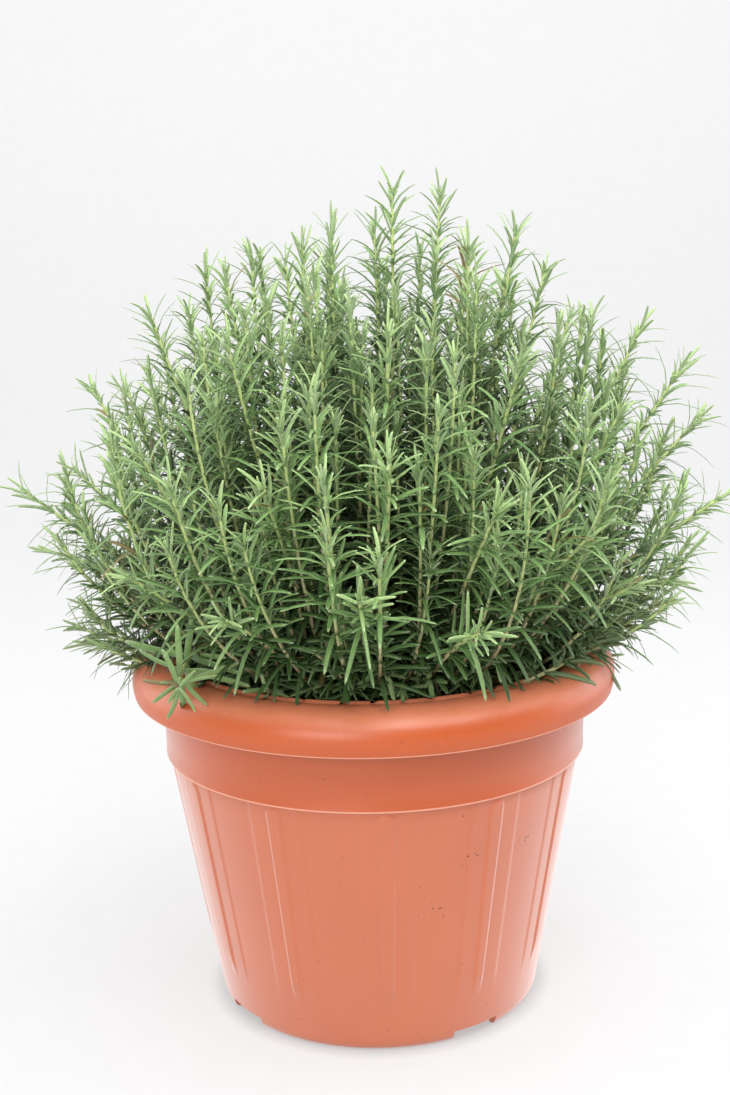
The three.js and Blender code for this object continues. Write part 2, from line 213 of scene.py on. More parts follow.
def new_tree(name, sizes, **others):
    """A tree with a Geometry input and output, and an input for each size and a material."""
    tree = bpy.data.node_groups.new(name, "GeometryNodeTree")
    for side in ("INPUT", "OUTPUT"):
        tree.interface.new_socket("Geometry", in_out=side, socket_type="NodeSocketGeometry")
    kinds = {key: "Int" if isinstance(size, int) else "Float" for key, size in sizes.items()}
    for label, kind in {**kinds, **others, "Material": "Material"}.items():
        tree.interface.new_socket(label, in_out="INPUT", socket_type="NodeSocket" + kind)
    start = tree.nodes.new("NodeGroupInput")
    return tree, {s.name: Field(s) for s in start.outputs if s.name}


def close_tree(tree, geometry, material):
    """Ends a tree with Realize Instances and Set Material, because an export drops instances."""
    whole = shape(tree, "RealizeInstances", Geometry=geometry)
    dressed = shape(tree, "SetMaterial", Geometry=whole, Material=material)
    fill(tree.nodes.new("NodeGroupOutput"), Geometry=dressed)
    print(tree.name, "has", len(tree.nodes), "nodes")
    return tree


def settle(piece, tree, values):
    """Runs a tree on a piece once and keeps the result as its mesh."""
    modifier = piece.modifiers.new(tree.name, "NODES")
    modifier.node_group = tree
    for socket in tree.interface.items_tree:
        if socket.in_out == "INPUT" and socket.name in values:
            modifier[socket.identifier] = values[socket.name]
    graph = bpy.context.evaluated_depsgraph_get()
    grown = piece.evaluated_get(graph)
    mesh = bpy.data.meshes.new_from_object(grown, preserve_all_data_layers=True, depsgraph=graph)
    piece.modifiers.remove(modifier)
    piece.data = mesh
    mesh.name = piece.name


def mesh_piece(name, points, edges=(), faces=()):
    """A new object from points in metres."""
    mesh = bpy.data.meshes.new(name)
    mesh.from_pydata([tuple(p) for p in points], list(edges), list(faces))
    piece = bpy.data.objects.new(name, mesh)
    collection.objects.link(piece)
    return piece


def note(piece, name, values):
    """Stores one number for each vertex under a name."""
    layer = piece.data.attributes.new(name, "FLOAT", "POINT")
    layer.data.foreach_set("value", np.asarray(values, np.float32))


def named(tree, name, kind="FLOAT"):
    """Reads in a tree what was stored under a name."""
    return shape(tree, "InputNamedAttribute", data_type=kind, Name=name)


def wear(piece, slot, *nodes):
    """Hands a piece to the frame: it rides on the one body and stands for these nodes."""
    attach(piece, "root")
    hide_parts(*nodes)
    print(piece.name, "has", len(piece.data.polygons), "faces")


print("tree helpers ready")

# %% [markdown]
# ## Materials: a shader in a few lines
# Real finishes differ in colour, gloss and fine relief. A painted picture could give them, but it
# would blur close up, so nodes work every finish out, from one Principled shader. Its colour is
# built in layers, each laid over the last with a share that a noise, a place or a stored number
# gives.

# %% Material helpers
def linear(colour):
    """A colour as a picture shows it, 0 to 255, as the light values a shader needs."""
    shares = [c / 255 for c in colour]
    return (*(c / 12.92 if c <= 0.04045 else ((c + 0.055) / 1.055) ** 2.4 for c in shares), 1.0)


def new_material(name, roughness, **constants):
    material = bpy.data.materials.new(name)
    material.use_nodes = True
    tree = material.node_tree
    tree.nodes.clear()
    shader = put(tree, "ShaderNodeBsdfPrincipled", Roughness=roughness, **constants)
    put(tree, "ShaderNodeOutputMaterial", Surface=Field(shader.outputs[0]))
    return material, tree, shader


def object_place(tree):
    return out(put(tree, "ShaderNodeTexCoord"), "Object")


def noise_at(place, scale, detail=2.0):
    return out(put(place.tree, "ShaderNodeTexNoise", Vector=place, Scale=scale, Detail=detail))


def layered(colour, *layers):
    """A colour with others laid over it. Each layer is a colour and its share."""
    for over, share in layers:
        node = put(share.tree, "ShaderNodeMix", data_type="RGBA")
        for key, value in ((0, share), (6, colour), (7, over)):
            connect(linear(value) if isinstance(value, tuple) else value, node.inputs[key])
        colour = Field(node.outputs[2])
    return colour


def scaled(colour, share):
    """A colour made lighter or darker by a number."""
    node = put(colour.tree, "ShaderNodeVectorMath", operation="SCALE")
    connect(colour, node.inputs[0])
    connect(share, node.inputs["Scale"])
    return Field(node.outputs[0])


def own_number(tree, name):
    return out(put(tree, "ShaderNodeAttribute", attribute_name=name), "Fac")


def raise_bump(shader, height, depth):
    fill(shader, Normal=out(put(height.tree, "ShaderNodeBump", Height=height, Distance=depth)))


print("material helpers ready")

# %% [markdown]
# ## Studio floor
# The plant stands in a bright, almost shadowless white studio. A flat plane would end in an edge
# that shows, so the floor curves up into a backdrop, as a roll of paper does. More lamps would only
# move the shadows about. Instead the paper glows a little, which keeps them faint, and glows less
# close to the pot's foot, where light can't reach.

# %% Floor
FLOOR_WIDE, FLOOR_FRONT, SWEEP_START, SWEEP_R, WALL_HIGH = 7.0, -6.0, 1.2, 1.0, 3.0
SWEEP_STEPS = 24
PAPER_GLOW, PAPER_SHARE = 0.665, 0.2  # light that the paper gives, share that it sends back
WALL_LIFT = 0.14  # how much more the backdrop glows one metre up
FOOT_SHADE, FOOT_SHADE_OUT, FOOT_SHADE_SOFT = 0.3, 0.127, 0.016

sweep = [(FLOOR_FRONT, 0.0), (SWEEP_START, 0.0)]
for step in range(1, SWEEP_STEPS + 1):
    turn = step / SWEEP_STEPS * pi / 2
    sweep.append((SWEEP_START + SWEEP_R * sin(turn), SWEEP_R * (1 - cos(turn))))
sweep.append((SWEEP_START + SWEEP_R, WALL_HIGH))
points = [(side * FLOOR_WIDE, y, z) for y, z in sweep for side in (-1, 1)]
strips = [(2 * i, 2 * i + 1, 2 * i + 3, 2 * i + 2) for i in range(len(sweep) - 1)]
floor = mesh_piece("studio_floor", points, faces=strips)
floor.data.polygons.foreach_set("use_smooth", [True] * len(strips))
print("floor and backdrop:", len(strips), "strips")

# %% Paper
paper, tree, shader = new_material("studio_paper", 0.7, Emission_Strength=PAPER_GLOW)
grain = noise_at(object_place(tree), 40.0)
paper_white = layered((246, 246, 247), ((250, 250, 251), grain))
x, y, height = parts_of(object_place(tree))
near_foot = smooth((FOOT_SHADE_OUT - distance(x, y)) / FOOT_SHADE_SOFT)
glow = (1.0 + smooth(height) * WALL_LIFT) * (1.0 - near_foot * FOOT_SHADE)
fill(shader, Base_Color=scaled(paper_white, PAPER_SHARE))
fill(shader, Emission_Color=scaled(paper_white, glow))
floor.data.materials.append(paper)
print("paper glows with strength", PAPER_GLOW)

# %% [markdown]
# ## Studio light
# A ring of lamps could light the plant from all round, but each would leave its own shine on the
# rim. A white sky leaves none. It is darker in front, so that the pot's middle keeps its colour
# while its sides turn pale. One soft lamp above gives the rim its broad gloss, one lights the
# front, and two from behind draw light edges.

# %% Light
SKY_FRONT, SKY_SIDES, SKY_HIGH = 0.4, 0.65, 0.95  # in front and low, low elsewhere, overhead
LAMPS = {  # place, where it points, size and watts
    "lamp_above": ((0.25, -0.6, 1.7), (0, 0, 0.35), (1.4, 1.4), 30.0),
    "lamp_front": ((-0.7, -1.8, 0.9), (0, 0, 0.3), (0.9, 0.9), 14.0),
    "lamp_right": ((1.3, 0.45, 0.7), (0, 0, 0.25), (1.1, 1.4), 10.0),
    "lamp_left": ((-1.35, 0.5, 0.7), (0, 0, 0.25), (1.0, 1.4), 8.0),
}

world = bpy.data.worlds.new("studio")
bpy.context.scene.world = world
world.use_nodes = True
tree = world.node_tree
_, behind, up = parts_of(out(put(tree, "ShaderNodeTexCoord"), "Generated"))
horizon = between(SKY_FRONT, SKY_SIDES, smooth((behind + 0.75) / 0.75))
sky = between(horizon, SKY_HIGH, smooth(up))
fill(tree.nodes["Background"], Color=(1.0, 1.0, 1.0, 1.0), Strength=sky)

for name, (lamp_place, target, size, watts) in LAMPS.items():
    lamp = bpy.data.lights.new(name, "AREA")
    lamp.shape, lamp.size, lamp.size_y, lamp.energy = "RECTANGLE", size[0], size[1], watts
    holder = bpy.data.objects.new(name, lamp)
    collection.objects.link(holder)
    look = (Vector(target) - Vector(lamp_place)).to_track_quat("-Z", "Y")
    holder.matrix_world = Matrix.Translation(lamp_place) @ look.to_matrix().to_4x4()
bpy.context.scene.view_settings.view_transform = "Standard"
print("studio with", len(LAMPS), "lamps")

# %% [markdown]
# ## Pot: the turned body
# A moulded pot is round, with a rolled rim, a collar band and a foot ring. A Screw modifier could
# turn its profile, but only in even steps. Here the script turns it, with columns that stand closer
# where the ribs and the thin panel edges are going to be, so that these come out crisp.

# %% Pot profile
# radius and height in millimetres, from the middle of the underside, outside up, inside down
POT_UNDER = [(0, 7.5), (60, 7.5), (104.3, 7.5), (105.9, 6.9), (106.5, 5.6), (106.6, 0.3)]
POT_FOOT = [
    (106.9, 0), (109.1, 0), (110.3, 0.3), (111.8, 1.3), (113.0, 3.0), (113.9, 5.4), (114.4, 8.5),
]
WALL_FOOT, WALL_TOP = (114.4, 8.5), (144.0, 181.2)
BAND = [
    (144.4, 181.5), (145.6, 181.6), (146.5, 181.4), (147.1, 181.7), (147.2, 182.4), (146.8, 183.3),
    (147.2, 195), (147.8, 210), (148.4, 224),
]
LIP_UNDER = [
    (148.6, 236), (149.6, 243), (152.4, 246.6), (156.6, 245.6), (160.6, 242.4), (163.4, 237.4),
    (164.6, 231), (164.4, 226), (164.9, 224.8), (166.2, 224.5), (167.0, 224.9),
]
ROLL = [
    (167.5, 226.6), (168.1, 229.4), (168.4, 232.5), (168.3, 235.6), (167.7, 238.8), (166.5, 241.8),
    (164.8, 244.4), (162.7, 246.7), (160.2, 248.7), (157.3, 250.2), (154.1, 251.4), (150.6, 252.1),
    (147.2, 252.4), (144.6, 252.1), (142.6, 251.3), (141.3, 250.9), (140.4, 251.4), (139.6, 252.2),
    (138.6, 252.6), (137.6, 252.3), (137.0, 251.5), (136.9, 250.5),
]
POT_INSIDE = [
    (136.9, 240), (137.6, 232), (141.2, 182), (126, 95), (111.6, 14), (109.6, 11.2), (106, 10.3),
    (50, 10.3), (0, 10.3),
]
WALL_ROWS, CAP_ROWS = 48, 10
RIB_CAP_Z = 172.0  # above this height the rows stand closer, for the ribs' rounded ends
RIB_COUNT, FIRST_RIB = 12, 2.5
HALF_SECTOR = 15.0  # degrees from a rib's middle to halfway to the next rib
PANEL_HALF = 7.6
COLUMNS = [0, 0.5, 0.9, 1.1, 1.3, 1.5, 1.7, 1.9, 2.1, 2.3, 2.6]  # degrees, close at a rib's edge
COLUMNS += [3.4, 5, 6.6, 7.3, 7.6, 7.9, 8.6, 10.4, 12.6]


def turned(name, profile, angles, wall=()):
    """Turns a profile about the Z axis. Its ends are on the axis; wall marks rows for the ribs."""
    points, marks = [(0, 0, profile[0][1])], [0.0]
    n = len(angles)
    for i, (r, z) in enumerate(profile[1:-1], 1):
        for a in angles:
            points.append((r * sin(radians(a)), -r * cos(radians(a)), z))
            marks.append(1.0 if i in wall else 0.0)
    points.append((0, 0, profile[-1][1]))
    marks.append(0.0)
    last, faces = len(points) - 1, []
    for c in range(n):
        d = (c + 1) % n
        faces.append((0, 1 + d, 1 + c))
        for i in range(len(profile) - 3):
            row, above = 1 + i * n, 1 + (i + 1) * n
            faces.append((row + c, row + d, above + d, above + c))
        top = 1 + (len(profile) - 3) * n
        faces.append((last, top + c, top + d))
    piece = mesh_piece(name, [Vector(p) * MM for p in points], faces=faces)
    note(piece, "wall", marks)
    return piece


low = np.linspace(WALL_FOOT[1], RIB_CAP_Z, WALL_ROWS)[1:]
high = np.linspace(RIB_CAP_Z, WALL_TOP[1], CAP_ROWS)[1:]
slope = (WALL_TOP[0] - WALL_FOOT[0]) / (WALL_TOP[1] - WALL_FOOT[1])
rows = [(WALL_FOOT[0] + slope * (z - WALL_FOOT[1]), z) for z in (*low, *high)]
pot_profile = POT_UNDER + POT_FOOT + rows + BAND + LIP_UNDER + ROLL + POT_INSIDE
first_row = len(POT_UNDER) + len(POT_FOOT)
marked = range(first_row, first_row + len(rows))
sector = [-a for a in reversed(COLUMNS[1:])] + COLUMNS + [HALF_SECTOR]
pot_angles = [FIRST_RIB + 360 / RIB_COUNT * k + a for k in range(RIB_COUNT) for a in sector]
pot = turned("flower_pot", pot_profile, pot_angles, wall=marked)
print("pot skin:", len(pot_profile), "rows of", len(pot_angles))

# %% [markdown]
# ## Pot: ribs, panels, notches and holes
# Twelve flat ribs stand out from the wall, in equal sectors. Each could be a solid joined to the
# wall, but then its soft foot would be lost. The tree works out how far each point of the wall lies
# from its sector's middle and pushes it outward by a smooth step. The notches in the foot ring and
# the drain holes have sharp edges, so they are cut with a Mesh Boolean.

# %% Pot nodes
POT_SIZES = {
    "Ribs": RIB_COUNT,
    "First rib": radians(FIRST_RIB),
    "Rib height": 1.25 * MM,
    "Rib half width low": 2.6 * MM,
    "Rib half width high": 5.0 * MM,
    "Rib end": 178.6 * MM,
    "Rib fade low": 30 * MM,
    "Rib fade high": 50 * MM,
    "Panel half angle": radians(PANEL_HALF),
    "Panel height": 0.5 * MM,
    "Cuts": 4,
    "First cut": radians(34.4),
    "Notch radius": 113.5 * MM,
    "Drain radius": 84 * MM,
}
RIB_SOFT, PANEL_SOFT = 2.3 * MM, 0.9 * MM  # width of the slope at an edge
NOTCH_BOX = (36 * MM, 24 * MM, 14.6 * MM)
DRAIN_R, DRAIN_DEEP = 5.5 * MM, 30 * MM
SHARP_BEND = radians(38)  # faces that meet at more than this show an edge


def pot_tree():
    tree, given = new_tree("moulded pot", POT_SIZES)
    x, y, z = parts_of(shape(tree, "InputPosition"))
    angle = calculate("ARCTAN2", x, -y) - given["First rib"]
    half_step = calculate("DIVIDE", pi, given["Ribs"])
    local = calculate("ABSOLUTE", calculate("WRAP", angle, half_step, -half_step))
    arc = local * distance(x, y)
    # a rib's outline is a narrow bar with a round upper end
    height_share = z / given["Rib end"]
    half_width = between(given["Rib half width low"], given["Rib half width high"], height_share)
    past_end = calculate("MAXIMUM", z - (given["Rib end"] - half_width), 0.0)
    rib = smooth(0.5 - (distance(arc, past_end) - half_width) / RIB_SOFT)
    fade = smooth((z - given["Rib fade low"]) / (given["Rib fade high"] - given["Rib fade low"]))
    past_panel = (given["Panel half angle"] - local) * distance(x, y)
    panel = smooth(0.5 + past_panel / PANEL_SOFT)
    push = rib * fade * given["Rib height"] + panel * fade * given["Panel height"]
    outward = calculate("NORMALIZE", vector_of(x, y, 0.0))
    offset = outward * (push * named(tree, "wall"))
    raised = shape(tree, "SetPosition", Geometry=given["Geometry"], Offset=offset)
    # four cutters of each kind stand in a ring
    index = shape(tree, "InputIndex")
    turn = given["First cut"] + index * calculate("DIVIDE", 2 * pi, given["Cuts"])
    box = shape(tree, "MeshCube", Size=NOTCH_BOX)
    drain = shape(tree, "MeshCylinder", Vertices=24, Radius=DRAIN_R, Depth=DRAIN_DEEP)
    cutters = put(tree, "GeometryNodeJoinGeometry")
    for ring, tool in ((given["Notch radius"], box), (given["Drain radius"], drain)):
        at = vector_of(calculate("SINE", turn) * ring, -calculate("COSINE", turn) * ring, 0.0)
        places = shape(tree, "Points", Count=given["Cuts"], Position=at)
        facing = vector_of(0.0, 0.0, turn)
        spin = out(put(tree, "FunctionNodeEulerToRotation", Euler=facing))
        copies = shape(tree, "InstanceOnPoints", Points=places, Instance=tool, Rotation=spin)
        fill(cutters, Geometry=copies)
    cut = put(tree, "GeometryNodeMeshBoolean", operation="DIFFERENCE", solver="MANIFOLD")
    connect(raised, cut.inputs[0])
    connect(shape(tree, "RealizeInstances", Geometry=out(cutters)), cut.inputs[1])
    soft = shape(tree, "SetShadeSmooth", Geometry=out(cut))
    bent = shape(tree, "InputMeshEdgeAngle") > SHARP_BEND
    edges = {"Geometry": soft, "Selection": bent, "Shade_Smooth": False}
    sharp = shape(tree, "SetShadeSmooth", domain="EDGE", **edges)
    return close_tree(tree, sharp, given["Material"])


moulded = pot_tree()

# %% [markdown]
# ## Pot: the plastic
# Moulded polypropylene: an even terracotta red, faintly cloudy, with a few specks of soil in front.
# The wall's fine grain scatters light. Bumps that small would need very many samples, so a sheen
# imitates them and turns the wall's sides pale. The rim is glossier, without sheen, and its top is
# painted lighter, as painted light from above. Painted highlights run as thin lines along the
# lower edges of the rim and the band. One function makes both finishes, and each face of the mesh
# gets its own.

# %% Pot material
RIM_EDGE_Z, BAND_FOOT_Z = 0.2245, 0.1822
RIM_TOP_Z, RIM_TOP_SOFT = 0.241, 0.009
RIM_LINE, BAND_LINE = (0.2242, 0.2256, 0.1655), (0.1813, 0.1827, 0.1464)
SPECK_PLACES = [  # middle of a patch of soil specks, and how far it reaches
    ((0.035, -0.127, 0.107), 0.015),
    ((0.064, -0.121, 0.141), 0.014),
    ((0.097, -0.096, 0.142), 0.02),
]
SPECK_LEVEL, SPECK_LIFT, SPECK_SOFT = 0.745, 0.145, 0.02


def pot_plastic(name, **gloss):
    """Terracotta-coloured plastic, paler below the band, with painted light on the rim's top."""
    material, tree, shader = new_material(name, 0.4, IOR=1.49, **gloss)
    place = object_place(tree)
    x, y, z = parts_of(place)
    streak = noise_at(place, 160.0, 3.0)
    below_band = smooth((BAND_FOOT_Z - z) / 0.001)
    painted_rim_light = smooth((z - RIM_TOP_Z) / RIM_TOP_SOFT)

    def edge_line(low, high, radius):
        """1 on a thin moulded edge: between two heights, outside a radius."""
        return (z > low) * (z < high) * (distance(x, y) > radius)

    # painted highlight: a thin bright line along the lower edges of the rim and the band
    painted_edge_highlight = edge_line(*RIM_LINE) + edge_line(*BAND_LINE)
    # soil specks: the peaks of a fine noise, where a patch lifts them or by rare luck
    peaks = noise_at(place, 420.0, 2.0)
    for middle, reach in SPECK_PLACES:
        peaks = peaks + clamp(1.0 - calculate("LENGTH", place - middle) / reach) * SPECK_LIFT
    body = layered(
        (184, 79, 26),
        ((198, 93, 32), noise_at(place, 11.0, 4.0)),
        ((190, 77, 8), 0.4 - below_band * 0.4),
        ((236, 190, 172), below_band * 0.09),
        # painted light: the rim's top is lighter, as where light from above falls on it
        ((238, 160, 128), painted_rim_light * (0.36 + streak * 0.16)),
        ((240, 178, 150), painted_edge_highlight * 0.6),
        ((96, 26, 6), smooth((peaks - SPECK_LEVEL) / SPECK_SOFT)),
    )
    fill(shader, Base_Color=body, Roughness=0.36 + streak * 0.06 + below_band * 0.1)
    raise_bump(shader, noise_at(place, 900.0), 0.00002)
    return material


WALL_GLOSS = {"Specular_IOR_Level": 0.85, "Sheen_Weight": 0.9, "Sheen_Roughness": 0.4}
wall_plastic = pot_plastic("wall_plastic", **WALL_GLOSS)
rim_plastic = pot_plastic("rim_plastic", Specular_IOR_Level=0.8)
settle(pot, moulded, {**POT_SIZES, "Material": wall_plastic})
pot.data.materials.clear()
for finish in (wall_plastic, rim_plastic):
    pot.data.materials.append(finish)
on_rim = [int(face.center.z > RIM_EDGE_Z) for face in pot.data.polygons]
pot.data.polygons.foreach_set("material_index", on_rim)
print(sum(on_rim), "of the pot's faces are the rim's")
wear(pot, "pot", "pot")

# %% [markdown]
# ## Soil
# Potting compost is a dark bed of crumbs and fibres. Bump alone would leave a smooth edge along the
# pot's wall, and nobody wants to place crumbs one by one. The body is turned like the pot's inside,
# its surface is shaken by noise, and a few thousand small lumps are scattered over it.

# %% Soil
SOIL = [(0, 10.8), (60, 10.8), (111.1, 12.5), (126, 97), (140.7, 182), (136.4, 230), (136.2, 233)]
SOIL_TOP = [
    (130, 234.5), (122, 235.2), (112, 235.8), (102, 236.2), (90, 236.6), (78, 237), (66, 237.4),
    (54, 237.8), (42, 238), (30, 238), (18, 238), (8, 238), (0, 238),
]
SOIL_COLUMNS = 72
SURFACE_FOOT_Z, SURFACE_Z = 233.5 * MM, 233.8 * MM  # below it the body stays smooth
CRUMB_SIZES = {"Crumbs": 30000.0, "Crumb size": 2.1 * MM, "Shake": 3.2 * MM, "Seed": 7}


def soil_tree():
    tree, given = new_tree("crumbled soil", CRUMB_SIZES)
    place = shape(tree, "InputPosition")
    z = parts_of(place)[2]
    on_top = clamp((z - SURFACE_FOOT_Z) / (1.5 * MM))
    lump = noise_at(place, 55.0, 4.0) - 0.5
    lift = vector_of(0.0, 0.0, lump * on_top * given["Shake"])
    bed = shape(tree, "SetPosition", Geometry=given["Geometry"], Offset=lift)
    grains = shape(tree, "DistributePointsOnFaces", Mesh=bed, Density=given["Crumbs"],
                   Seed=given["Seed"], Selection=z > SURFACE_Z)
    crumb = shape(tree, "MeshIcoSphere", Radius=given["Crumb size"], Subdivisions=1)
    stretch = random(tree, data_type="FLOAT_VECTOR", Min=(0.7, 0.7, 0.5), Max=(1.3, 1.3, 0.9))
    size = random(tree, Min=0.25, Max=1.0, Seed=given["Seed"])
    turn = random(tree, data_type="FLOAT_VECTOR", Max=(6.3, 6.3, 6.3))
    spin = out(put(tree, "FunctionNodeEulerToRotation", Euler=turn))
    crumbs = shape(tree, "InstanceOnPoints", Points=grains, Instance=crumb, Rotation=spin,
                   Scale=stretch * size)
    both = put(tree, "GeometryNodeJoinGeometry", Geometry=bed)
    fill(both, Geometry=crumbs)
    return close_tree(tree, out(both), given["Material"])


compost, tree, shader = new_material("potting_compost", 0.95)
place = object_place(tree)
crumbly = noise_at(place, 260.0, 5.0)
fibres = smooth((noise_at(place, 1400.0, 2.0) - 0.62) / 0.08)
fill(shader, Base_Color=layered((26, 19, 14), ((62, 47, 34), crumbly), ((96, 76, 54), fibres)))
raise_bump(shader, noise_at(place, 1100.0, 5.0), 0.0006)
soil_angles = [360 / SOIL_COLUMNS * k for k in range(SOIL_COLUMNS)]
soil = turned("compost_bed", SOIL + SOIL_TOP, soil_angles)
settle(soil, soil_tree(), {**CRUMB_SIZES, "Material": compost})
wear(soil, "soil", "soil")

# %% [markdown]
# ## Where the shoots grow
# Rosemary is a bush of long shoots from a few woody crowns. Hair could be grown over a dome, but
# its tips wouldn't meet the frame's. The frame's fifty shoots follow one rule: each starts on the
# soil, the further out the more it leans, and bends towards its tip. The same rule is repeated
# here, so that the leaves land on those shoots. Two hang over the rim, a rosette at the left and a
# twig at the right.

# %% Shoot rule
DOME_Z, DEPTH_SHARE, BASE_R, LOW_ANGLE, FAN_POWER = 240.0, 0.9, 104.0, 85.0, 0.72
BOW_OUT, LIFT, LIFT_LEANS = 8.0, (-6.0, 26.0), (45.0, 75.0)
SOIL_Z, TRUNK_RISE, CROWN_RING, CROWN_START = 238.0, 13.0, 68.0, 12.0
OUTLINE_TIPS = [
    (19, -28, 572), (54, 42, 568), (99, -44, 544), (132, 72, 514), (-56, 58, 524),
    (-92, -34, 520), (-32, -66, 519), (-150, 18, 492), (-184, -36, 446), (-182, 92, 432),
    (149, 64, 480), (189, -8, 478), (207, -62, 456), (239, 26, 410), (241, -46, 363),
    (-246, -6, 373), (-225, 84, 373), (-240, 46, 315), (233, 66, 274), (78, 104, 526),
]
FRONT_TIPS = [
    (13, -140, 489), (-86, -122, 485), (94, -132, 470), (160, -104, 432), (-145, -128, 420),
    (-64, -184, 404), (12, -192, 420), (76, -184, 388), (134, -158, 362), (-8, -214, 338),
    (-92, -190, 322), (66, -204, 312), (-156, -142, 340), (176, -112, 318),
]
ROSETTE = [(-78, -60, 240), (-104, -84, 300), (-124, -106, 276), (-120, -156, 262)]
RIM_TWIG = [(75, -90, 240), (106, -124, 262), (132, -80, 255), (160, -18, 267)]
CURVE_STEPS = 200
CROWN_COUNT = 8  # one in the middle, the others in a ring
REACH_SHARE, REACH_RANGE = 0.16, (22, 44)  # share of a shoot's length that is wood, and its limits


def chance(n):
    """A repeatable number from 0 to 1 for each whole number."""
    s = np.sin(n * 12.9898 + 4.1414) * 43758.5453
    return float(s - np.floor(s))


def step_lengths(path):
    return np.linalg.norm(np.diff(path, axis=0), axis=1)


def length_of(path):
    return float(step_lengths(path).sum())


def cut_path(path, start, end, steps):
    """The stretch of a path between two distances from its foot, in even steps."""
    gone = np.r_[0, np.cumsum(step_lengths(path))]
    at = np.linspace(start, gone[-1] if end is None else end, steps)
    return np.stack([np.interp(at, gone, path[:, k]) for k in range(3)], axis=1)


def bezier(controls, steps=48):
    """Points along a Bezier curve, evenly spaced by length."""
    t = np.linspace(0, 1, CURVE_STEPS)[None, :, None]
    level = np.array(controls, float)[:, None, :]
    while len(level) > 1:
        level = level[:-1] * (1 - t) + level[1:] * t
    return cut_path(level[0], 0, None, steps)


def path_to(tip):
    tip = np.array(tip, float)
    dx, dy, dz = tip[0], tip[1] / DEPTH_SHARE, tip[2] - DOME_Z
    lean = np.degrees(np.arctan2(np.hypot(dx, dy), dz))
    foot_r = BASE_R * (lean / LOW_ANGLE) ** FAN_POWER
    outward = np.array([tip[0], tip[1], 0]) / np.hypot(tip[0], tip[1])
    base = outward * foot_r + (0, 0, DOME_Z)
    low = np.clip((lean - LIFT_LEANS[0]) / (LIFT_LEANS[1] - LIFT_LEANS[0]), 0, 1)
    bend = (base + tip) / 2 + outward * BOW_OUT + (0, 0, LIFT[0] + (LIFT[1] - LIFT[0]) * low)
    return [base, bend, tip]


back_tips = [(-x, -y, z - 4) for x, y, z in FRONT_TIPS]
main_controls = [path_to(tip) for tip in OUTLINE_TIPS + FRONT_TIPS + back_tips]
main_controls += [ROSETTE, RIM_TWIG]
crowns = [np.array((0, 0, SOIL_Z))]
for k in range(CROWN_COUNT - 1):
    turn = radians(CROWN_START + k * 360 / (CROWN_COUNT - 1))
    crowns.append(np.array((CROWN_RING * sin(turn), -CROWN_RING * cos(turn), SOIL_Z)))


def nearest_crown(p):
    return int(np.argmin([np.hypot(*(c - p)[:2]) for c in crowns]))


def new_shoot(controls):
    whole = bezier(controls)
    crown = nearest_crown(np.array(controls[0]))
    return {"whole": whole, "length": length_of(whole), "crown": crown}


mains = [new_shoot(controls) for controls in main_controls]
for main in mains:
    main["reach"] = float(np.clip(REACH_SHARE * main["length"], *REACH_RANGE))
average = sum(main["length"] for main in mains) / len(mains)
print(len(mains), "main shoots,", round(average), "mm long on average")

# %% [markdown]
# ## Filling the bush
# A real bush has hundreds of shoots. Tips set by chance alone would clump and leave holes. Some
# were measured on the front, and the rest are spread over the dome by the golden angle, which never
# lines up. A tip too close to another is left out.

# %% More shoots
FRONT_MEASURED = [
    (-31, -169, 459), (-51, -176, 441), (-108, -136, 463), (52, -151, 475), (41, -175, 446),
    (133, -137, 443), (92, -181, 403), (-26, -204, 381), (-89, -184, 396), (-119, -166, 405),
    (4, -208, 369), (142, -154, 397), (-27, -194, 411), (-125, 50, 491), (150, -30, 486),
    (40, 70, 530), (-74, -20, 530), (66, -60, 536), (-24, 20, 530),
]
DOME_ANGLES = [0, 15, 30, 45, 60, 70, 80, 92]
DOME_RADII = [322, 312, 294, 280, 262, 252, 234, 208]
FILL_SETS = [  # how many, least and greatest share of the dome's radius, seed
    (190, 0.84, 0.99, 100),
    (160, 0.5, 0.84, 700),
    (150, 0.3, 0.8, 1300),
]
TIP_ROOM = 22.0
LOWEST_LEAN, FRONT_LESS = 90.0, 32.0  # degrees from upright; none of these leans further
LEAN_WOBBLE, TURN_WOBBLE = 7, 0.5
FOOT_R, FOOT_POWER, FOOT_Z = 116.0, 0.5, 238.0
ASIDE = 24
GOLDEN = pi * (3 - 5 ** 0.5)


def dome_point(lean, turn, share):
    r = np.interp(lean, DOME_ANGLES, DOME_RADII) * share
    flat = r * sin(radians(lean))
    depth = -flat * cos(turn) * DEPTH_SHARE
    return np.array((flat * sin(turn), depth, DOME_Z + r * cos(radians(lean))))


tips = [main["whole"][-1] for main in mains]
filler_tips = []


def add_tip(point):
    """Keeps a tip if no other stands too close."""
    if min(np.linalg.norm(point - tip) for tip in tips) > TIP_ROOM:
        filler_tips.append(point)
        tips.append(point)


for point in FRONT_MEASURED:
    add_tip(np.array(point, float))
for count, least, most, seed in FILL_SETS:
    for k in range(count):
        up = 1 - (k + 0.5) / count
        lean = np.degrees(np.arccos(up)) + LEAN_WOBBLE * (chance(seed + k) - 0.5)
        turn = k * GOLDEN + TURN_WOBBLE * chance(seed + k + 0.3)
        lean *= (LOWEST_LEAN - FRONT_LESS * abs(cos(turn))) / 90
        share = least + (most - least) * chance(seed + k + 0.6)
        add_tip(dome_point(abs(lean), turn, share))
print(len(filler_tips), "tips added between the main ones")


